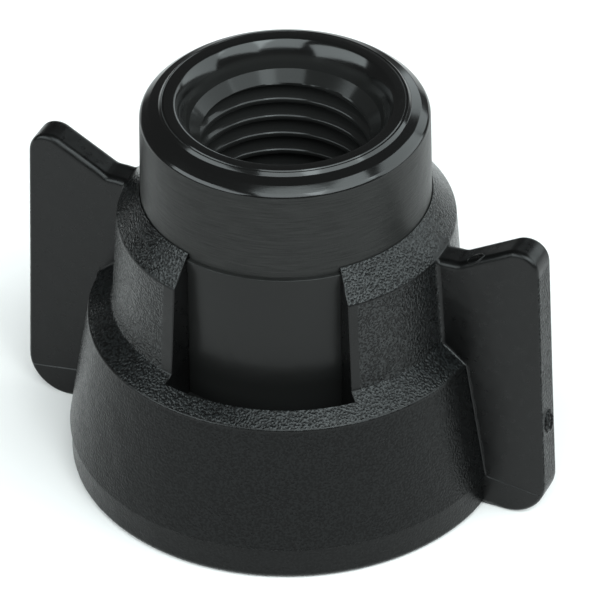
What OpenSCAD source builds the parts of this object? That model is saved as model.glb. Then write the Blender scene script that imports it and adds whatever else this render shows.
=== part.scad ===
// Quarter-turn wing nut with a female pipe-threaded outlet, for a spray nozzle body.
// The nut turns freely on the insert; the insert carries the thread and the seat gasket.
// Millimetres, +Z up the axis, z = 0 on the skirt rim, the two wings along +X and -X.

/* [Overall] */
// height of the outlet mouth above the skirt rim
total_h = 28.9; // [24:0.1:34]
// clearance between the turning faces, on the radius and along the axis
running_gap = 0.05; // [0.03:0.01:0.1]

/* [Skirt] */
// outside radius at the rim
rim_r = 15.05; // [13:0.05:18]
// height of the plain band at the rim
band_h = 2.55; // [1:0.1:5]
// how far the band stands in from the flared wall
band_step = 0.1; // [0.05:0.05:0.4]
// outside radius of the flared wall just above the band
flare_r = 15.15; // [13:0.05:18]
// radius of the skirt shoulder edge
shoulder_r = 13.7; // [12:0.05:16]
// height of the skirt shoulder edge
shoulder_z = 11.6; // [9:0.1:14]
// radius of the bayonet socket inside the skirt
socket_r = 12.65; // [11:0.05:14]
// height of the socket roof
roof_z = 10.4; // [8:0.1:12]

/* [Collar] */
// outside radius at the collar foot
collar_foot_r = 11.95; // [11:0.05:14]
// height of the collar foot
collar_foot_z = 13.0; // [11:0.1:15]
// outside radius at the collar shoulder
collar_top_r = 11.5; // [10.5:0.05:13]
// height of the collar shoulder edge
collar_top_z = 19.65; // [16:0.05:22]
// height where the conical collar top meets the outlet tube
collar_lip_z = 21.8; // [18:0.05:24]
// depth of the lip that overhangs the insert's ledge
lip_h = 0.4; // [0.2:0.05:1]

/* [Windows] */
// number of windows through the collar and the roof, one above each lug
window_count = 2; // [2:1:4]
// radius of a window's outer wall, where it cuts the skirt shoulder
window_r = 12.55; // [11.5:0.05:13]
// angle of the first window's middle, from +X
window_az = -76; // [-90:1:0]
// half of the angle that a window spans
window_half = 30.7; // [15:0.1:40]

/* [Bayonet] */
// inner radius of the bayonet lugs
lug_r = 11.3; // [10:0.05:12]
// height of the underside of a lug
lug_z = 1.8; // [1:0.1:4]
// height of the ramp in the middle of a lug
lug_top_z = 4.1; // [3:0.1:6]
// slope of the ramp, in degrees
lug_ramp = 4; // [0:0.5:8]
// height of the stop at the end of the ramp
stop_top_z = 7.2; // [5:0.1:9]
// angle that the stop spans
stop_span = 7; // [4:1:12]

/* [Wings] */
// wing thickness
wing_t = 2.3; // [1.8:0.1:3]
// distance from the axis to the wing's outer edge, at the rim
wing_foot_x = 19.4; // [17:0.05:24]
// the same distance at the top of the wing
wing_top_x = 18.75; // [16:0.05:23]
// height of the wing's highest point
wing_peak_z = 21.9; // [16:0.05:26]
// radius of the outer top corner
wing_top_round = 1.5; // [0.5:0.1:3]
// radius of the outer bottom corner
wing_foot_round = 2.8; // [0.5:0.1:5]
// height of the dip where the wing meets the collar
wing_dip_z = 19.7; // [14:0.05:21]
// distance from the axis to the bottom of the dip
wing_dip_x = 12.7; // [12:0.1:15]
// slope of the top edge from the dip up to the peak, in degrees
wing_slope = 30; // [15:1:45]

/* [Insert] */
// outside radius of the outlet tube at its rounded rim
tube_r = 9.75; // [9:0.05:12]
// outside radius of the outlet tube at the collar
tube_foot_r = 9.84; // [9:0.01:12]
// drop of the sloping rim from the land to the tube wall
rim_drop = 1.05; // [0.4:0.1:2]
// outside radius of the flat land round the mouth
land_r = 8.25; // [8:0.05:9.5]
// radius of the barrel that turns in the nut
barrel_r = 10.1; // [9.9:0.05:12]
// radius of the flange under the nut's roof
flange_r = 11.2; // [10.6:0.05:12]
// height of the underside of the flange
flange_z = 7.4; // [6:0.1:9]
// radius of the water way
way_r = 4.5; // [3:0.1:6]

/* [Outlet thread] */
// radius of the threaded bore at its crests
thread_r = 5.65; // [5:0.01:7]
// radius of the mouth inside its land
mouth_r = 7.7; // [7:0.05:8.5]
// radius of the counterbore at its foot
counterbore_r = 6.4; // [6:0.05:7.5]
// height of the foot of the counterbore
counterbore_z = 27.05; // [25:0.1:28]
// height where the full thread starts
thread_top_z = 26.4; // [24:0.1:28]
// height where the thread ends
thread_foot_z = 14.9; // [10:0.1:20]

/* [Gasket] */
// outside radius of the seat gasket
gasket_r = 8.6; // [7:0.05:9.5]
// radius of the hole through the gasket
gasket_hole_r = 5.2; // [4:0.1:7]
// height of the gasket's sealing face
gasket_z = 6.9; // [5:0.1:8]
// height of the top of the gasket, in its recess
gasket_top_z = 9.6; // [8:0.1:10]

/* [Hidden] */
$fn = 120;
black = [0.07, 0.07, 0.075];
rubber = [0.05, 0.05, 0.05];
nut_bore_r = barrel_r + running_gap;
lip_r = tube_foot_r + running_gap + 0.01;
flange_top_z = roof_z - running_gap;
ledge_z = collar_lip_z - lip_h - running_gap;
rim_round = 0.35;
socket_lead = 0.5;
mouth_bevel = 0.3;
window_step = 360 / window_count;
stop_inset = 1;
wing_root_x = lug_r;
corner_steps = 8;

// points along an arc about c, from angle a0 to angle a1
function arc(c, r, a0, a1) =
    [for (i = [0:corner_steps]) let (a = a0 + (a1 - a0) * i / corner_steps) c + r * [cos(a), sin(a)]];

// the outside of the skirt and collar, as it is turned about the axis
function nut_outline() = concat(
    [[0, 0]],
    arc([rim_r - rim_round, rim_round], rim_round, -90, 0),
    [
        [flare_r - band_step, band_h],
        [flare_r, band_h + 0.05],
        [shoulder_r, shoulder_z],
        [collar_foot_r, collar_foot_z],
        [collar_top_r, collar_top_z],
        [lip_r, collar_lip_z],
        [0, collar_lip_z]
    ]
);

// the socket, the bore that the insert turns in, and the lip over the insert's ledge
function nut_hollow() = [
    [0, -1],
    [socket_r + socket_lead + 1, -1],
    [socket_r, socket_lead],
    [socket_r, roof_z],
    [nut_bore_r, roof_z],
    [nut_bore_r, collar_lip_z - lip_h],
    [lip_r, collar_lip_z - lip_h],
    [lip_r, total_h],
    [0, total_h]
];

// one wing seen from the side, x from the axis and y up
function wing_outline() =
    let (
        lean = atan2(wing_foot_x - wing_top_x, wing_peak_z),
        top_c = [wing_top_x - wing_top_round, wing_peak_z - wing_top_round],
        foot_c = [wing_foot_x - wing_foot_round, wing_foot_round],
        dip_r = 0.8,
        dip_c = [wing_dip_x, wing_dip_z + dip_r]
    )
    concat(
        [[wing_root_x, 0]],
        arc(foot_c, wing_foot_round, -90, lean),
        arc(top_c, wing_top_round, lean, 90 + wing_slope),
        arc(dip_c, dip_r, -90 + wing_slope, -90),
        [[wing_root_x, wing_dip_z - 0.1]]
    );

// a ring segment about the axis, its middle at angle a
module segment(r0, r1, z0, z1, a, half) {
    rotate([0, 0, a - half])
        rotate_extrude(angle = 2 * half)
            translate([r0, z0])
                square([r1 - r0, z1 - z0]);
}

module wing() {
    translate([0, wing_t / 2, 0])
        rotate([90, 0, 0])
            linear_extrude(height = wing_t)
                polygon(wing_outline());
}

// one bayonet lug with its sloping ramp, and the stop at the ramp's end
module lug() {
    wall = 0.4;
    difference() {
        segment(lug_r, socket_r + wall, lug_z, lug_top_z + 2, 0, window_half);
        translate([0, 0, lug_top_z])
            rotate([lug_ramp, 0, 0])
                translate([0, -20, 0])
                    cube([20, 40, 10]);
    }
    segment(lug_r + 0.5, socket_r + wall, lug_z + 0.5, stop_top_z, window_half - stop_span / 2 - stop_inset, stop_span / 2);
}

module windows() {
    for (i = [0:window_count - 1])
        segment(nut_bore_r - 1, window_r, roof_z - 1, total_h, window_az + i * window_step, window_half);
}

// the winged nut: skirt with bayonet socket, slotted collar and two wings, one moulding
module wing_nut() {
    color(black) {
        difference() {
            union() {
                rotate_extrude() polygon(nut_outline());
                wing();
                rotate([0, 0, 180]) wing();
            }
            rotate_extrude() polygon(nut_hollow());
            windows();
        }
        for (i = [0:window_count - 1])
            rotate([0, 0, window_az + i * window_step]) lug();
    }
}

// the outlet: tube, barrel and flange outside, threaded bore, water way and gasket recess inside
module threaded_insert() {
    color(black)
        difference() {
            rotate_extrude()
                polygon([
                    [0, flange_z],
                    [flange_r - 0.3, flange_z],
                    [flange_r, flange_z + 0.3],
                    [flange_r, flange_top_z],
                    [barrel_r, flange_top_z],
                    [barrel_r, ledge_z],
                    [tube_foot_r, ledge_z],
                    [tube_r, total_h - rim_drop],
                    [land_r + 0.6, total_h - 0.35],
                    [land_r, total_h],
                    [0, total_h]
                ]);
            rotate_extrude()
                polygon([
                    [0, counterbore_z - 1],
                    [thread_r, counterbore_z - 1],
                    [thread_r, thread_top_z],
                    [counterbore_r, counterbore_z],
                    [mouth_r - mouth_bevel, total_h - mouth_bevel],
                    [mouth_r, total_h],
                    [mouth_r, total_h + 1],
                    [0, total_h + 1]
                ]);
            translate([0, 0, thread_foot_z]) cylinder(r = thread_r, h = thread_top_z - thread_foot_z);
            translate([0, 0, flange_z - 1]) cylinder(r = way_r, h = total_h);
            translate([0, 0, flange_z - 1]) cylinder(r = gasket_r, h = gasket_top_z - flange_z + 1);
        }
}

// the ring that seals against the nozzle body, pressed into the insert
module seat_gasket() {
    color(rubber)
        difference() {
            translate([0, 0, gasket_z]) cylinder(r = gasket_r, h = gasket_top_z - gasket_z);
            translate([0, 0, gasket_z - 1]) cylinder(r = gasket_hole_r, h = gasket_top_z - gasket_z + 2);
        }
}

wing_nut();
threaded_insert();
seat_gasket();
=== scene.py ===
"""Looks of the winged quarter-turn nut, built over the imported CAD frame.

Named sizes are in millimetres and named angles in degrees. finish_mesh scales the shapes to metres.
"""
import math

import bmesh
import bpy
from mathutils import Matrix, Vector


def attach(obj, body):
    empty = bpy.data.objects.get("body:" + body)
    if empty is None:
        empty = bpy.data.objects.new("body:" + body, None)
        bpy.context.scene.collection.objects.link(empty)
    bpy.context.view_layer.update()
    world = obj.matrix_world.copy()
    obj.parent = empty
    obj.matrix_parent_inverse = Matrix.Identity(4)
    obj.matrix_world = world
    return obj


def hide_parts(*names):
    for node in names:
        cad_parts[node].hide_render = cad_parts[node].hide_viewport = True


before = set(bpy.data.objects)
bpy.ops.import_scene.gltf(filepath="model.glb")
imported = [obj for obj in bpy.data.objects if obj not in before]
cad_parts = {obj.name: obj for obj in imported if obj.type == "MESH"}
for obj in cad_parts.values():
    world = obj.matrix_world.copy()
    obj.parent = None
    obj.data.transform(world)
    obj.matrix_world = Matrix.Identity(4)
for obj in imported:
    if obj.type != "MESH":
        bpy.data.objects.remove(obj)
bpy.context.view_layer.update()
MM = 0.001

# sizes shared with the CAD
TOP_Z, TUBE_R, TUBE_FOOT_R, LEDGE_Z = 28.9, 9.75, 9.84, 21.35
BARREL_R, FLANGE_R, FLANGE_Z, FLANGE_TOP_Z = 10.1, 11.2, 7.4, 10.35
WAY_R, GASKET_R, GASKET_HOLE_R, GASKET_Z, GASKET_TOP_Z = 4.5, 8.6, 5.2, 6.9, 9.6
THREAD_R, THREAD_TOP_Z, THREAD_FOOT_Z, COUNTERBORE_R, COUNTERBORE_Z = 5.65, 26.4, 14.9, 6.4, 27.05
RIM_R, FLARE_R, SHELF_R, SHELF_Z = 15.05, 15.15, 13.7, 11.6
COLLAR_FOOT_R, COLLAR_FOOT_Z, COLLAR_TOP_R, COLLAR_TOP_Z = 11.95, 13.0, 11.5, 19.65
LIP_Z, LIP_H, LIP_R, BORE_R = 21.8, 0.4, 9.9, 10.15
SOCKET_R, SOCKET_LEAD, ROOF_Z = 12.65, 0.5, 10.4
WINDOW_R, WINDOW_AZ, WINDOW_HALF = 12.55, -76.0, 30.7
LUG_R, LUG_Z, LUG_TOP_Z, LUG_RAMP = 11.3, 1.8, 4.1, 4.0
STOP_TOP_Z, STOP_SPAN, STOP_INSET = 7.2, 7.0, 1
WING_T, WING_FOOT_X, WING_TOP_X, WING_PEAK_Z, WING_SLOPE = 2.3, 19.4, 18.75, 21.9, 30
WING_FOOT_ROUND, WING_TOP_ROUND = 2.8, 1.5
DIP_X, DIP_Z = 12.7, 19.7

# sizes that only this model has
BAND_Z, FLARE_Z, WINDOW_FOOT_Z, DIP_R, PITCH = 2.5, 2.6, 12.52, 0.9, 1.411

# the wing's rows of points: the steps round its foot corner, its top corner and the dip
FOOT_STEPS, TOP_STEPS, DIP_STEPS = 14, 12, 6
WING_HALF_AZ = 5.5  # half of the angle that a wing's root takes
COLUMN_STEP = 2.5  # angle between the plain columns of the nut's mesh

# the camera's direction, which the light panels follow
VIEW_AZ, VIEW_EL, VIEW_ROLL = 24.3, 36.71, -0.81


# ---------------------------------------------------------------- mesh helpers
def spread(start, end, n):
    """n + 1 evenly spaced values."""
    return [start + (end - start) * i / n for i in range(n + 1)]


def arc(cx, cy, r, start, end, n):
    """n + 1 points on an arc from one angle to another."""
    turns = [math.radians(a) for a in spread(start, end, n)]
    return [(cx + r * math.cos(t), cy + r * math.sin(t)) for t in turns]


def full_turn(n):
    """n angles round a circle, in radians."""
    return [2 * math.pi * k / n for k in range(n)]


def rounded(corners, steps=4):
    """A polyline through corners of (x, y, radius), with its inner corners rounded where radius isn't 0."""
    out = []
    for i, (x, y, radius) in enumerate(corners):
        if radius == 0 or i in (0, len(corners) - 1):
            out.append((x, y))
            continue
        a, b, c = (Vector(corners[j][:2]) for j in (i - 1, i, i + 1))
        u, v = (a - b).normalized(), (c - b).normalized()
        half_rad = math.acos(max(-1, min(1, u.dot(v)))) / 2
        cut = radius / math.tan(half_rad)
        centre = b + (u + v).normalized() * (radius / math.sin(half_rad))
        first, last = b + u * cut - centre, b + v * cut - centre
        out += [tuple(centre + first.lerp(last, k / steps).normalized() * radius) for k in range(steps + 1)]
    return out


def ring_at(bm, profile, rad):
    """The vertices of a profile of (r, z) points, turned about Z by an angle in radians."""
    return [bm.verts.new((r * math.cos(rad), r * math.sin(rad), z)) for r, z in profile]


def bridge(bm, rings, ends="capped"):
    """Quads between neighbouring rings. The two end rings are capped, open or joined to each other."""
    for p, q in zip(rings, rings[1:] + rings[:1] if ends == "joined" else rings[1:]):
        for j in range(len(p)):
            k = (j + 1) % len(p)
            bm.faces.new((p[j], q[j], q[k], p[k]))
    if ends == "capped":
        bm.faces.new(rings[0])
        bm.faces.new(rings[-1])


def bead_ring(bm, centre, u, v, radius, sides=8):
    """A ring of vertices round a point, in the plane of two directions."""
    turns = full_turn(sides)
    return [bm.verts.new(centre + radius * (u * math.cos(t) + v * math.sin(t))) for t in turns]


def tube_along(bm, path, radius):
    """A closed round bead along a path, thinner at its two ends."""
    rings = []
    u = None
    for i, p in enumerate(path):
        ahead = (Vector(path[min(i + 1, len(path) - 1)]) - Vector(path[max(i - 1, 0)])).normalized()
        u = (ahead.orthogonal() if u is None else u - ahead * u.dot(ahead)).normalized()
        here = radius * (0.4 if i in (0, len(path) - 1) else 1)
        rings.append(bead_ring(bm, Vector(p), u, ahead.cross(u), here))
    bridge(bm, rings)


def tube_round(bm, loop, radius):
    """A round bead around a closed loop of points."""
    centre = sum((Vector(p) for p in loop), Vector()) / len(loop)
    axis = (Vector(loop[0]) - centre).cross(Vector(loop[len(loop) // 4]) - centre).normalized()
    rings = [bead_ring(bm, Vector(p), (Vector(p) - centre).normalized(), axis, radius) for p in loop]
    bridge(bm, rings, "joined")


def finish_mesh(name, bm, sharp, sharp_rings=()):
    """An object from bm. Edges are sharp above an angle, and on the rings given as (r, z)."""
    near = 2e-5  # how close to a ring an edge's ends have to be, in metres
    bmesh.ops.recalc_face_normals(bm, faces=bm.faces[:])
    bmesh.ops.scale(bm, vec=(MM, MM, MM), verts=bm.verts[:])
    me = bpy.data.meshes.new(name)
    bm.to_mesh(me)
    bm.free()
    for p in me.polygons:
        p.use_smooth = True
    me.set_sharp_from_angle(angle=math.radians(sharp))
    for r, z in sharp_rings:
        for e in me.edges:
            ends = [me.vertices[i].co for i in e.vertices]
            if all(abs(math.hypot(v.x, v.y) - r * MM) < near and abs(v.z - z * MM) < near for v in ends):
                e.use_edge_sharp = True
    ob = bpy.data.objects.new(name, me)
    bpy.context.scene.collection.objects.link(ob)
    return ob


# ---------------------------------------------------------------- the winged nut
# the outside from the rim up to the lip, then the inside from the lip down to the socket's mouth
PROFILE = [
    (SOCKET_R + SOCKET_LEAD, 0), (RIM_R, 0), (RIM_R, BAND_Z), (FLARE_R, FLARE_Z), (SHELF_R, SHELF_Z),
    (WINDOW_R, WINDOW_FOOT_Z), (COLLAR_FOOT_R, COLLAR_FOOT_Z), (COLLAR_TOP_R, COLLAR_TOP_Z), (LIP_R, LIP_Z),
    (LIP_R, LIP_Z - LIP_H), (BORE_R, LIP_Z - LIP_H), (BORE_R, ROOF_Z), (WINDOW_R, ROOF_Z), (SOCKET_R, ROOF_Z),
    (SOCKET_R, SOCKET_LEAD),
]
RIM_IN, RIM, BAND_TOP, FLARE, SHELF, RING, FOOT, SHOULDER, LIP = range(9)
LIP_IN, BORE_TOP, ROOF_IN, ROOF_RING, ROOF_OUT, MOUTH = range(9, 15)
WINDOW_ROWS = [RIM_IN, RIM, BAND_TOP, FLARE, SHELF, RING, ROOF_RING, ROOF_OUT, MOUTH]
WALL_ROWS = [RING, FOOT, SHOULDER, LIP, LIP_IN, BORE_TOP, ROOF_IN, ROOF_RING]

# how far each edge is rounded, as a share of the bevel's width
BEVEL_WIDTH = 0.6
WALL_BEVELS = ((RING, FOOT, 0.13), (FOOT, SHOULDER, 0.17), (SHOULDER, LIP, 0.17), (BORE_TOP, ROOF_IN, 0.1))
RING_BEVELS = {
    RIM_IN: 0.2, RIM: 0.85, SHELF: 0.17, FOOT: 0.27, SHOULDER: 0.17, LIP: 0.07, ROOF_IN: 0.2, MOUTH: 0.2,
}
WINDOW_FOOT_BEVEL, ROOT_BEVEL, SKIRT_ROOT_BEVEL = 0.13, 0.45, 0.16
WING_BEVEL, WING_BEVEL_RISE, WING_BEVEL_ROWS = 0.43, 0.5, 13  # a free edge's share rises over some rows


def wing_outline():
    """The free edge of a wing from just outside the rim round to the foot of the dip, as (x, z)."""
    lean = math.degrees(math.atan2(WING_FOOT_X - WING_TOP_X, WING_PEAK_Z))
    pts = [(15.8, 0.0)]
    pts += arc(WING_FOOT_X - WING_FOOT_ROUND, WING_FOOT_ROUND, WING_FOOT_ROUND, -90, lean, FOOT_STEPS)
    pts += [(WING_FOOT_X - (WING_FOOT_X - WING_TOP_X) * z / WING_PEAK_Z, z) for z in (SHELF_Z, COLLAR_FOOT_Z)]
    top_x, top_z = WING_TOP_X - WING_TOP_ROUND, WING_PEAK_Z - WING_TOP_ROUND
    pts += arc(top_x, top_z, WING_TOP_ROUND, lean, 90 + WING_SLOPE, TOP_STEPS)
    pts += arc(DIP_X, DIP_Z + DIP_R, DIP_R, -90 + WING_SLOPE, -90, DIP_STEPS)
    pts.append((12.2, DIP_Z))
    return pts


def in_window(az):
    """Whether an azimuth falls in one of the windows."""
    starts = (WINDOW_AZ - WINDOW_HALF, WINDOW_AZ + 180 - WINDOW_HALF)
    return any((az - start) % 360 < 2 * WINDOW_HALF for start in starts)


def under_wing(az):
    """Whether an azimuth falls in the root of a wing."""
    return min(az, 360 - az) < WING_HALF_AZ or abs(az - 180) < WING_HALF_AZ


def nut_columns():
    """The columns of the nut's mesh as (kind, azimuth): window walls, wing roots and the plain ones."""
    turns = (0, 180)
    walls = sorted((WINDOW_AZ + turn + side) % 360 for turn in turns for side in (-WINDOW_HALF, WINDOW_HALF))
    cols = [("wall", az) for az in walls]
    cols += [("wing", (turn + side) % 360) for turn in turns for side in (-WING_HALF_AZ, WING_HALF_AZ)]
    for k in range(int(360 / COLUMN_STEP)):
        az = k * COLUMN_STEP
        # leave out a column that would crowd a wing's root or a window's wall
        beside_wing = 2.0 < abs((az + 90) % 180 - 90) < 8.0
        beside_wall = min(abs((az - wall + 180) % 360 - 180) for wall in walls) < 1.3
        if not beside_wing and not beside_wall:
            cols.append(("plain", az))
    return sorted(cols, key=lambda c: c[1])


def nut_point(kind, az, row):
    """A point of the profile on a column. A wing's columns follow its flat sides instead of the radius."""
    r, z = PROFILE[row]
    if kind != "wing":
        rad = math.radians(az)
        return (r * math.cos(rad), r * math.sin(rad), z)
    y = WING_T / 2
    sx = 1 if min(az, 360 - az) < 90 else -1
    sy = 1 if az < 180 else -1
    return (sx * math.sqrt(r * r - y * y), sy * y, z)


def nut_vertices(bm, cols):
    """The nut's vertices by column and row, with None where a window is cut away."""
    vert = []
    for kind, az in cols:
        rows = WINDOW_ROWS if kind == "plain" and in_window(az) else range(len(PROFILE))
        column = [None] * len(PROFILE)
        for j in rows:
            column[j] = bm.verts.new(nut_point(kind, az, j))
        vert.append(column)
    return vert


def weigh(bm, a, b, share):
    """Rounds the edge between two vertices by a share of the bevel's width, if there is such an edge."""
    e = bm.edges.get((a, b)) if a and b else None
    if e:
        e[bm.edges.layers.float["bevel_weight_edge"]] = share


def add_wing(bm, sx, chain):
    """A wing on the side of sx, grown out of the columns at its root. chain has them across its thickness."""
    thick = [column[RIM].co.y / abs(chain[0][RIM].co.y) for column in chain]
    rows = [[column[RIM] for column in chain]]
    rows += [[bm.verts.new((sx * x, t * WING_T / 2, z)) for t in thick] for x, z in wing_outline()]
    rows.append([column[SHOULDER] for column in chain])
    for a, b in zip(rows, rows[1:]):
        for q in range(len(chain) - 1):
            bm.faces.new((a[q], a[q + 1], b[q + 1], b[q]))
    # each side is four faces, split at the heights of the flare, the shelf and the collar's foot
    low = FOOT_STEPS + 2
    shelf, foot = low + 1, low + 2
    for q in (0, len(chain) - 1):
        root = chain[q]
        bm.faces.new([r[q] for r in rows[:low + 1]] + [root[FLARE], root[BAND_TOP]])
        bm.faces.new([rows[low][q], rows[shelf][q], root[SHELF], root[FLARE]])
        bm.faces.new([rows[shelf][q], rows[foot][q], root[FOOT], root[RING], root[SHELF]])
        bm.faces.new([r[q] for r in rows[foot:]] + [root[FOOT]])
        # round the wing's free edges, more towards the dip, and leave a small fillet at its root
        for i, (a, b) in enumerate(zip(rows, rows[1:])):
            rise = max(0.0, min(1.0, (i - foot) / WING_BEVEL_ROWS))
            weigh(bm, a[q], b[q], WING_BEVEL + WING_BEVEL_RISE * rise)
        for j in range(FLARE, SHOULDER):
            weigh(bm, root[j], root[j + 1], ROOT_BEVEL if j > SHELF else SKIRT_ROOT_BEVEL)


def round_edges(bm, strips, walls):
    """Weighs the edges that run round the nut, and those of the windows' side walls."""
    for mid, left, right in strips:
        for j, share in RING_BEVELS.items():
            if not (j in (RIM, SHELF, FOOT) and under_wing(mid)):
                weigh(bm, left[j], right[j], share)
        if in_window(mid):
            weigh(bm, left[RING], right[RING], WINDOW_FOOT_BEVEL)
    for column in walls:
        for p, q, share in WALL_BEVELS:
            weigh(bm, column[p], column[q], share)


def nut_mesh():
    """The nut before its bevel: strips between columns, the windows' side walls and the wings."""
    bm = bmesh.new()
    bm.edges.layers.float.new("bevel_weight_edge")
    cols = nut_columns()
    vert = nut_vertices(bm, cols)

    strips = []
    for i, (_, az) in enumerate(cols):
        k = (i + 1) % len(cols)
        mid = (az + ((cols[k][1] - az) % 360) / 2) % 360
        strips.append((mid, vert[i], vert[k]))
    for mid, left, right in strips:
        rows = WINDOW_ROWS if in_window(mid) else list(range(len(PROFILE)))
        for p, q in zip(rows, rows[1:] + rows[:1]):
            if not (under_wing(mid) and RIM <= p < SHOULDER):
                bm.faces.new((left[p], right[p], right[q], left[q]))

    walls = [column for (kind, _), column in zip(cols, vert) if kind == "wall"]
    for column in walls:
        bm.faces.new([column[j] for j in WALL_ROWS])

    for sx, wing_az in ((1, 0), (-1, 180)):
        around = [((az - wing_az + 180) % 360 - 180, column) for (_, az), column in zip(cols, vert)]
        around.sort(key=lambda pair: pair[0])
        add_wing(bm, sx, [column for offset, column in around if abs(offset) <= WING_HALF_AZ])
    bm.normal_update()
    round_edges(bm, strips, walls)
    return bm


def lug_bm(bm, az):
    """One bayonet lug with its ramp, and the stop at the ramp's end."""
    steps, into_wall, lead_in = 24, 0.25, 0.5
    outer = SOCKET_R + into_wall
    rings = []
    for i in range(steps + 1):
        rad = math.radians(-WINDOW_HALF + 2 * WINDOW_HALF * i / steps)
        ramp = LUG_R * math.sin(rad) * math.tan(math.radians(LUG_RAMP))
        top = LUG_TOP_Z + ramp - (lead_in if i == 0 else 0.0)
        profile = rounded([(outer, LUG_Z, 0), (LUG_R, LUG_Z, 0.2), (LUG_R, top, 0.2), (outer, top, 0)])
        rings.append(ring_at(bm, profile, rad + math.radians(az)))
    bridge(bm, rings)

    steps, set_back, end_inset, rise, slope = 5, 0.5, 0.25, 0.5, 0.6
    rings = []
    for i in range(steps + 1):
        rad = math.radians(az + WINDOW_HALF - STOP_INSET - STOP_SPAN + STOP_SPAN * i / steps)
        inner = LUG_R + set_back + (end_inset if i in (0, steps) else 0.0)
        foot, top = LUG_Z + rise, STOP_TOP_Z
        rings.append(ring_at(bm, [(outer, foot), (inner, foot), (inner, top - slope), (outer, top)], rad))
    bridge(bm, rings)


def line_z(x):
    """Height of the parting line on a wing, which falls a little towards the tip."""
    return 2.5 - 0.14 * (x - 15.1)


def wing_top(x, y):
    """Height of a wing's top near the dip, with the drop of its rounded edge."""
    start_x, start_z = 13.15, 19.82  # where the dip's arc gives way to the slope
    edge, flat = 0.56, 0.59  # the radius of the edge's rounding, and where it starts
    drop = edge - math.sqrt(edge * edge - max(0.0, abs(y) - flat) ** 2)
    if x > start_x:
        return start_z + (x - start_x) * math.tan(math.radians(WING_SLOPE)) - drop
    return DIP_Z + DIP_R - math.sqrt(max(DIP_R * DIP_R - (x - DIP_X) ** 2, 0.0)) - drop


def collar_r(z):
    """The collar's radius at a height."""
    rise = (z - COLLAR_FOOT_Z) / (COLLAR_TOP_Z - COLLAR_FOOT_Z)
    return COLLAR_FOOT_R - (COLLAR_FOOT_R - COLLAR_TOP_R) * rise


def skirt_r(z):
    """The skirt's radius at a height, which stays the same above the shelf."""
    rise = (min(z, SHELF_Z) - FLARE_Z) / (SHELF_Z - FLARE_Z)
    return FLARE_R - (FLARE_R - SHELF_R) * rise


def flash_lines(bm, sx, sy):
    """Thin lines where the mould halves meet, along one root of a wing and low on its side."""
    radius, fillet, half_t = 0.05, 0.14, WING_T / 2
    y = sy * (half_t + 0.15)
    tube_along(bm, [(sx * math.sqrt(collar_r(z) ** 2 - y * y), y, z) for z in spread(19.4, 13.3, 13)], radius)

    path = []
    for z in spread(11.9, 3.7, 35):
        root_x = math.sqrt(skirt_r(z) ** 2 - 1.3)  # 1.3 is about half_t squared
        uneven = 0.03 * math.sin(4 * z) + 0.015 * math.sin(11 * z)
        tuck = 0.15 if z >= SHELF_Z else 0.0
        path.append((sx * (root_x + fillet + uneven - tuck), sy * (half_t + 0.01), z))
    tube_along(bm, path, radius)

    # the parting line low on the wing is a small ledge with a sloping top
    ledge = ((-0.03, 0.1), (0.06, 0.01), (-0.03, -0.03))
    rings = []
    for x in spread(15.2, 19.05, 9):
        rings.append([bm.verts.new((sx * x, sy * (half_t + out), line_z(x) + up)) for out, up in ledge])
    bridge(bm, rings)


def gate_stub(bm):
    """What the gate left on the end face of one wing, as one bead inside another."""
    lean = (WING_FOOT_X - WING_TOP_X) / 21.65  # the end face's slope, near enough for a mark
    gate_y, gate_z, half_w, half_h, sunk = 0.1, 7.6, 0.5, 0.75, 0.05
    for size, thick, out in ((1.0, 0.19, 0.02), (0.35, 0.15, 0.03)):
        x = WING_FOOT_X - lean * gate_z - sunk + out
        loop = []
        for t in full_turn(24):
            up = half_h * size * math.sin(t)
            loop.append((x - lean * up, gate_y + half_w * size * math.cos(t), gate_z + up))
        tube_round(bm, loop, thick)


def round_mark(bm):
    """A round mark on the top of one wing, where the slope leaves the dip."""
    mark_x, mark_y, half_x, half_y = 14.1, -0.72, 0.6, 0.32
    spots = [(mark_x + half_x * math.cos(t), mark_y + half_y * math.sin(t)) for t in full_turn(24)]
    tube_round(bm, [(x, y, wing_top(x, y)) for x, y in spots], 0.07)


nut = finish_mesh("winged_nut", nut_mesh(), sharp=20)
bevel = nut.modifiers.new("edges", "BEVEL")
bevel.width = BEVEL_WIDTH * MM
bevel.segments = 4
bevel.limit_method = "WEIGHT"
bevel.offset_type = "OFFSET"
bevel.use_clamp_overlap = False
bevel.harden_normals = True

lugs_mesh = bmesh.new()
for turn in (0, 180):
    lug_bm(lugs_mesh, WINDOW_AZ + turn)
lugs = finish_mesh("bayonet_lugs", lugs_mesh, sharp=35)
marks_mesh = bmesh.new()
for sx in (1, -1):
    for sy in (1, -1):
        flash_lines(marks_mesh, sx, sy)
gate_stub(marks_mesh)
round_mark(marks_mesh)
marks = finish_mesh("mould_marks", marks_mesh, sharp=40)
lugs.parent = nut
marks.parent = nut
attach(nut, "nut")
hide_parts("wing_nut")

# ---------------------------------------------------------------- the threaded insert
# half a thread form as (height from the crest, depth), from the root to the crest
THREAD_FORM = (
    (PITCH / 2 + 0.06, 0.9), (PITCH / 2 - 0.06, 0.9), (0.5, 0.637), (0.35, 0.37), (0.21, 0.12), (0.14, 0.035),
    (0.05, 0),
)
THREAD_SHIFT = -0.33  # lowers the crests to the heights seen in the bore
# the chamfer where the thread starts, from the counterbore down
CHAMFER_R, CHAMFER_Z = 5.7, 26.35
CHAMFER = [(6.34, 26.99), (5.76, 26.41), (CHAMFER_R, CHAMFER_Z)]


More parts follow.
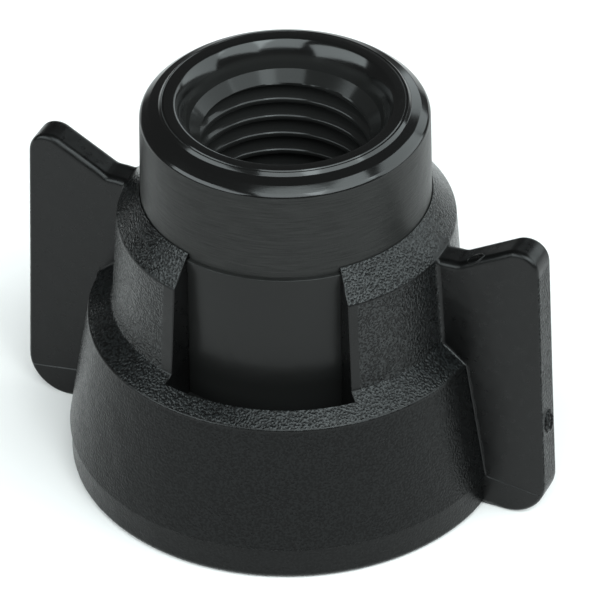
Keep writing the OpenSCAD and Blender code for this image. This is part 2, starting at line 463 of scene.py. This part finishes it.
def thread_column(turn):
    """The bore's wall at a fraction of a turn, from the counterbore's foot down, as (r, z)."""
    form = THREAD_FORM + tuple((-dz, depth) for dz, depth in reversed(THREAD_FORM[2:]))
    out = []
    for k in range(int((THREAD_TOP_Z - THREAD_FOOT_Z) / PITCH) + 3, -2, -1):
        crest = THREAD_FOOT_Z + PITCH * (k + turn) + THREAD_SHIFT
        for dz, depth in form:
            z = crest + dz
            fade = max(0.0, min(1.0, (z - THREAD_FOOT_Z) / PITCH))
            if z >= CHAMFER_Z:
                out += [CHAMFER[-1]] if out else CHAMFER
            elif z <= THREAD_FOOT_Z:
                out.append((THREAD_R, THREAD_FOOT_Z))
            else:
                out.append((THREAD_R + depth * fade, z))
    return out


def insert_mesh():
    bm = bmesh.new()
    steps = 240
    outside = rounded([
        # flange, barrel and the ledge under the tube
        (GASKET_R, FLANGE_Z, 0), (FLANGE_R, FLANGE_Z, 0.3), (FLANGE_R, FLANGE_TOP_Z, 0.15),
        (BARREL_R, FLANGE_TOP_Z, 0), (BARREL_R, LEDGE_Z, 0.07), (TUBE_FOOT_R, LEDGE_Z, 0),
        # the rolled rim up to its small bead, and the land
        (TUBE_R, 27.82, 0.4), (9.56, 28.03, 0.2), (9.09, 28.41, 0.3), (8.46, 28.65, 0.15),
        (8.27, 28.89, 0.03), (8.2, 28.83, 0), (8.13, 28.83, 0), (8.07, TOP_Z, 0.03), (7.38, TOP_Z, 0.3),
        # the counterbore
        (7.16, 28.66, 0), (6.93, 28.3, 0), (6.72, 27.9, 0), (COUNTERBORE_R, COUNTERBORE_Z, 0),
    ])
    inside = [(WAY_R, THREAD_FOOT_Z), (WAY_R, GASKET_TOP_Z), (GASKET_R, GASKET_TOP_Z)]
    rings = []
    for i in range(steps + 1):
        turn = i / steps
        rings.append(ring_at(bm, outside + thread_column(turn) + inside, 2 * math.pi * turn))
    bridge(bm, rings, "open")
    bmesh.ops.remove_doubles(bm, verts=bm.verts[:], dist=2e-4)
    bmesh.ops.dissolve_degenerate(bm, dist=1e-4, edges=bm.edges[:])
    return bm


creases = [
    (COUNTERBORE_R, COUNTERBORE_Z), (CHAMFER_R, CHAMFER_Z), (TUBE_FOOT_R, LEDGE_Z), (BARREL_R, FLANGE_TOP_Z),
]
insert = finish_mesh("outlet_insert", insert_mesh(), sharp=32, sharp_rings=creases)
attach(insert, "outlet")
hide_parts("threaded_insert")


def gasket_mesh():
    bm = bmesh.new()
    steps, gap = 128, 0.01
    top, outer = GASKET_TOP_Z - gap, GASKET_R - gap
    profile = rounded([
        (6.9, GASKET_TOP_Z, 0), (outer, top, 0.25), (outer, GASKET_Z, 0.35),
        (GASKET_HOLE_R, GASKET_Z, 0.3), (GASKET_HOLE_R, top, 0.25), (6.8, top, 0),
    ])
    bridge(bm, [ring_at(bm, profile, t) for t in full_turn(steps)], "joined")
    return bm


gasket = finish_mesh("rubber_gasket", gasket_mesh(), sharp=40)
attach(gasket, "outlet")
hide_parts("seat_gasket")


# ---------------------------------------------------------------- materials
class Graph:
    """A small helper for building one material's nodes. Coordinates are the piece's own, in millimetres."""

    def __init__(self, name, colour, rough, specular):
        self.mat = bpy.data.materials.new(name)
        self.mat.use_nodes = True
        self.tree = self.mat.node_tree
        self.out = self.tree.nodes["Principled BSDF"]
        self.out.inputs["Base Color"].default_value = (*colour, 1)
        self.out.inputs["Roughness"].default_value = rough
        self.out.inputs["IOR"].default_value = 1.53
        self.out.inputs["Specular IOR Level"].default_value = specular
        coord = self.tree.nodes.new("ShaderNodeTexCoord")
        self.p = self.vec("MULTIPLY", coord.outputs["Object"], (1000, 1000, 1000))
        split = self.tree.nodes.new("ShaderNodeSeparateXYZ")
        self.tree.links.new(self.p, split.inputs[0])
        self.x, self.y, self.z = split.outputs
        self.r = self.math("SQRT", self.plus(self.times(self.x, self.x), self.times(self.y, self.y)))

    def put(self, socket, value):
        if isinstance(value, (int, float, tuple)):
            socket.default_value = value
        else:
            self.tree.links.new(value, socket)

    def operate(self, kind, op, values):
        n = self.tree.nodes.new(kind)
        n.operation = op
        for socket, value in zip(n.inputs, values):
            self.put(socket, value)
        return n.outputs[0]

    def math(self, op, *values):
        return self.operate("ShaderNodeMath", op, values)

    def vec(self, op, *values):
        return self.operate("ShaderNodeVectorMath", op, values)

    def plus(self, first, second):
        return self.math("ADD", first, second)

    def minus(self, first, second):
        return self.math("SUBTRACT", first, second)

    def times(self, first, *others):
        """The product, which for masks is where all of them hold."""
        for other in others:
            first = self.math("MULTIPLY", first, other)
        return first

    def most(self, first, *others):
        """The largest, which for masks is where any of them holds."""
        for other in others:
            first = self.math("MAXIMUM", first, other)
        return first

    def no(self, value):
        return self.minus(1.0, value)

    def above(self, value, low, high):
        """0 below low, 1 above high."""
        n = self.tree.nodes.new("ShaderNodeMapRange")
        n.interpolation_type = "SMOOTHSTEP"
        for key, v in (("Value", value), ("From Min", low), ("From Max", high)):
            self.put(n.inputs[key], v)
        return n.outputs["Result"]

    def below(self, value, low, high):
        """1 below low, 0 above high."""
        return self.no(self.above(value, low, high))

    def band(self, value, low, high, soft=0.04):
        """1 between low and high."""
        rise = self.above(value, low - soft, low + soft)
        return self.times(rise, self.below(value, high - soft, high + soft))

    def noise(self, scale, detail, rough, vector=None):
        n = self.tree.nodes.new("ShaderNodeTexNoise")
        self.put(n.inputs["Vector"], vector or self.p)
        n.inputs["Scale"].default_value = scale
        n.inputs["Detail"].default_value = detail
        n.inputs["Roughness"].default_value = rough
        return n.outputs["Fac"]

    def spots(self, scale, size):
        """Small scattered spots: 1 inside a spot, 0 outside."""
        n = self.tree.nodes.new("ShaderNodeTexVoronoi")
        self.put(n.inputs["Vector"], self.p)
        n.inputs["Scale"].default_value = scale
        return self.below(n.outputs["Distance"], size * 0.5, size)

    def mix(self, fac, first, second):
        """Blend of two numbers or two colours."""
        n = self.tree.nodes.new("ShaderNodeMix")
        colour = isinstance(first, tuple)
        kind = "RGBA" if colour else "VALUE"
        n.data_type = "RGBA" if colour else "FLOAT"
        self.put(n.inputs["Factor"], fac)
        ends = [i for i in n.inputs if i.name in "AB" and i.type == kind]
        self.put(ends[0], (*first, 1) if colour else first)
        self.put(ends[1], (*second, 1) if isinstance(second, tuple) else second)
        return [o for o in n.outputs if o.type == kind][0]

    def bump(self, height, distance, strength, under=None):
        n = self.tree.nodes.new("ShaderNodeBump")
        self.put(n.inputs["Height"], height)
        n.inputs["Distance"].default_value = distance * MM
        self.put(n.inputs["Strength"], strength)
        if under:
            self.put(n.inputs["Normal"], under)
        return n.outputs["Normal"]

    def finish(self, **values):
        """Links the shader's inputs, named with underscores for spaces, and returns the material."""
        for key, value in values.items():
            self.put(self.out.inputs[key.replace("_", " ")], value)
        return self.mat


def grey(value):
    return (value, value, value)


def nut_masks(g):
    """Where the nut is grained, and its skirt, its shelf and its wings' ends, each as a mask."""
    # fold the two windows onto one, then measure the distance from each of its side walls
    c = math.radians(WINDOW_AZ)
    side = g.math("SIGN", g.plus(g.times(g.x, math.cos(c)), g.times(g.y, math.sin(c))))
    fx, fy = g.times(g.x, side), g.times(g.y, side)
    dist = []
    for az in (WINDOW_AZ - WINDOW_HALF, WINDOW_AZ + WINDOW_HALF):
        e = math.radians(az)
        dist.append(g.minus(g.times(fy, math.cos(e)), g.times(fx, math.sin(e))))
    abs_x, abs_y = g.math("ABSOLUTE", g.x), g.math("ABSOLUTE", g.y)

    # plain: beside the windows, the windows' walls, the wings, the socket, the bore and the rim's underside
    beside = g.most(g.band(dist[0], -0.95, 0.1), g.band(dist[1], -0.1, 0.65))
    beside = g.times(beside, g.band(g.z, 12.9, 19.6))
    walls = g.most(*(g.band(d, -0.1, 0.1, 0.02) for d in dist))
    walls = g.times(walls, g.above(g.z, 10, 10.5), g.below(g.r, 12.5, 12.6))
    wing = g.times(g.below(abs_y, 1.18, 1.3), g.above(abs_x, 11, 11.4))
    socket = g.times(g.below(g.r, 12.7, 12.8), g.below(g.z, 10.4, 10.5))
    bore = g.times(g.below(g.r, 10.16, 10.2), g.below(g.z, 21.45, 21.5))
    plain = g.most(beside, walls, wing, socket, bore, g.below(g.z, 0.0, 0.1))

    ends = g.times(g.above(abs_x, 18.5, 18.6), g.below(abs_y, 1.0, 1.1), g.below(g.z, 20.0, 20.4))
    skirt = g.times(g.above(g.r, 13.2, 13.4), g.below(g.z, 11.4, 11.6), g.no(wing))
    shelf = g.times(g.band(g.z, 11.8, 12.9, 0.1), g.above(g.r, 11.9, 12.0), g.no(wing))
    # the grain is weaker on the rim's band, and fades at the top edges of the collar and the skirt
    grain = g.times(g.most(g.no(plain), ends), g.mix(g.above(g.z, 2.4, 2.6), 0.55, 1.0))
    edges = g.times(g.most(g.band(g.z, 19.56, 19.72), g.band(g.z, 11.42, 11.7)), g.above(g.r, 11.2, 11.3))
    return g.times(grain, g.no(g.times(edges, 0.8))), skirt, shelf, ends


def nut_material():
    """Spark-eroded grain on the skirt and collar, plain on the wings, beside the windows and inside."""
    g = Graph("nut_nylon", grey(0.005), 0.4, 0.2)
    grain, skirt, shelf, ends = nut_masks(g)
    fine, coarse = g.noise(11.0, 1.0, 0.5), g.noise(6.6, 0.5, 0.5)
    slow, blotch = g.noise(0.35, 2.0, 0.5), g.noise(1.6, 1.0, 0.5)

    height = g.plus(g.times(fine, 0.25), g.times(coarse, 1.3))
    calm = g.mix(g.most(skirt, shelf), 1.0, 0.5)
    roof = g.mix(g.above(g.z, 19.6, 19.8), 1.0, 0.75)
    normal = g.bump(height, 0.055, g.times(g.mix(grain, 0.03, 1.0), calm, roof), g.bump(slow, 0.12, 0.6))

    glint = g.times(g.spots(1.1, 0.05), grain)
    rough = g.plus(g.mix(grain, 0.3, 0.26), g.times(g.minus(blotch, 0.5), 0.2))
    # the grain's peaks are paler and shinier than its pits
    speck = g.times(g.above(coarse, 0.44, 0.57), g.mix(skirt, 1.0, 0.3))
    shine = g.mix(grain, 0.22, g.mix(speck, 0.165, 0.29))
    shine = g.times(shine, g.mix(skirt, 1.0, 0.74), g.mix(shelf, 1.0, 0.82), g.mix(ends, 1.0, 0.35))
    return g.finish(
        Base_Color=g.mix(g.times(speck, grain), grey(0.0025), (0.0075, 0.0085, 0.0087)),
        Roughness=g.minus(rough, g.times(glint, 0.25)),
        Specular_IOR_Level=shine,
        Normal=normal,
    )


def insert_material():
    """Polished rim and thread, satin tube with faint turned lines, plain barrel."""
    g = Graph("insert_nylon", grey(0.005), 0.2, 0.3)
    tube = g.times(g.above(g.r, 9.6, 9.72), g.band(g.z, 21.3, 27.75, 0.08))
    barrel = g.times(g.above(g.r, 9.9, 9.95), g.below(g.z, 21.3, 21.4))
    bore = g.times(g.below(g.r, 6.7, 7.1), g.below(g.z, 27.4, 28.2))
    wall = g.most(tube, barrel)
    streaks = g.noise(1.0, 3.0, 0.6, g.vec("MULTIPLY", g.p, (0.5, 0.5, 11.0)))
    fine, slow = g.noise(5.0, 2.0, 0.5), g.noise(0.5, 2.0, 0.5)

    height = g.plus(streaks, g.times(fine, 0.35))
    waves = g.bump(slow, 0.08, g.mix(wall, 0.03, 0.5))
    # the tube's paler streaks are its turned lines and the barrel is a little paler in tone, while the bore's
    # paler base colour is painted fill light that lifts the shade deep in the bore
    lines_and_painted_fill = g.most(g.times(streaks, tube), g.times(barrel, 0.15), bore)
    line_and_painted_fill_colour = g.mix(bore, (0.027, 0.027, 0.026), (0.0115, 0.0115, 0.0112))
    bore_shine = g.mix(g.above(g.z, 26.25, 26.35), 0.2, 0.13)  # less above the thread than on it
    return g.finish(
        Base_Color=g.mix(lines_and_painted_fill, (0.0045, 0.0045, 0.0044), line_and_painted_fill_colour),
        Roughness=g.plus(g.mix(tube, g.mix(barrel, 0.13, 0.3), 0.36), g.times(g.minus(slow, 0.5), 0.08)),
        Specular_IOR_Level=g.mix(wall, g.mix(bore, 0.34, bore_shine), g.mix(barrel, 0.1, 0.17)),
        Normal=g.bump(height, 0.02, g.plus(g.times(tube, 0.9), 0.06), waves),
    )


def rubber_material():
    """Matt moulded rubber."""
    g = Graph("gasket_rubber", grey(0.012), 0.65, 0.4)
    fine, slow = g.noise(5.0, 3.0, 0.6), g.noise(0.8, 2.0, 0.5)
    return g.finish(
        Base_Color=g.mix(slow, grey(0.010), grey(0.017)),
        Roughness=g.mix(fine, 0.55, 0.75),
        Normal=g.bump(fine, 0.03, 0.7),
    )


nylon = nut_material()
for piece in (nut, lugs, marks):
    piece.data.materials.append(nylon)
insert.data.materials.append(insert_material())
gasket.data.materials.append(rubber_material())

# ---------------------------------------------------------------- floor, light, camera
bpy.ops.mesh.primitive_plane_add(size=4, location=(0, 0, -0.00001))  # just below the part's own rim
floor = bpy.context.object
floor.name = "floor"
floor_mat = bpy.data.materials.new("floor")
floor_mat.use_nodes = True
floor_shader = floor_mat.node_tree.nodes["Principled BSDF"]
floor_shader.inputs["Base Color"].default_value = (0.93, 0.895, 0.885, 1)
floor_shader.inputs["Roughness"].default_value = 0.9
floor.data.materials.append(floor_mat)

world = bpy.data.worlds.new("world")
bpy.context.scene.world = world
world.use_nodes = True
background = world.node_tree.nodes["Background"]
background.inputs["Color"].default_value = (1, 1, 1, 1)
background.inputs["Strength"].default_value = 0.1

PANEL_DISTANCE, PANEL_AIM = 0.6, Vector((0, 0, 0.018))  # both in metres
PANEL_COLOUR = (0.885, 0.99, 1.0)
PANELS = (
    # name, azimuth from the camera's side, elevation, width and height as seen from the part, radiance
    ("panel_front", 4, 49, 40, 38, 4.8),
    ("panel_right", 49, 43, 42, 36, 4.8),
    ("panel_side", 100, 27, 48, 38, 3.3),
    ("panel_back", 152, 20, 46, 20, 2.2),
    ("panel_left", -63, 29, 56, 26, 4.9),
)


def facing(az, el):
    """The right, up and back directions of something that looks at the part from this side."""
    a, e = math.radians(az), math.radians(el)
    back = Vector((math.sin(a) * math.cos(e), -math.cos(a) * math.cos(e), math.sin(e)))
    right = Vector((math.cos(a), math.sin(a), 0))
    return right, back.cross(right), back


def softbox(name, az, el, width, height, radiance):
    """A soft panel that faces the part."""
    axes = facing(VIEW_AZ + az, el)
    light = bpy.data.lights.new(name, "AREA")
    light.shape = "RECTANGLE"
    light.size = 2 * PANEL_DISTANCE * math.tan(math.radians(width / 2))
    light.size_y = 2 * PANEL_DISTANCE * math.tan(math.radians(height / 2))
    light.color = PANEL_COLOUR
    light.energy = radiance * math.pi * light.size * light.size_y
    ob = bpy.data.objects.new(name, light)
    bpy.context.scene.collection.objects.link(ob)
    ob.matrix_world = Matrix(axes).transposed().to_4x4()
    ob.location = PANEL_AIM + axes[2] * PANEL_DISTANCE


for panel in PANELS:
    softbox(*panel)

CAMERA_DISTANCE, TARGET_SIDE, TARGET_Z = 442.94, 0.56, 12.27
cam_data = bpy.data.cameras.new("camera")
cam_data.sensor_width = 36
cam_data.lens = 390
cam_data.clip_start, cam_data.clip_end = 0.01, 10
cam = bpy.data.objects.new("camera", cam_data)
bpy.context.scene.collection.objects.link(cam)
right, up, back = facing(VIEW_AZ, VIEW_EL)
target = (right * TARGET_SIDE + Vector((0, 0, TARGET_Z))) * MM
roll = math.radians(VIEW_ROLL)
right, up = right * math.cos(roll) + up * math.sin(roll), up * math.cos(roll) - right * math.sin(roll)
cam.matrix_world = Matrix((right, up, back)).transposed().to_4x4()
cam.location = target + back * CAMERA_DISTANCE * MM
bpy.context.scene.camera = cam
bpy.context.scene.view_settings.view_transform = "Standard"
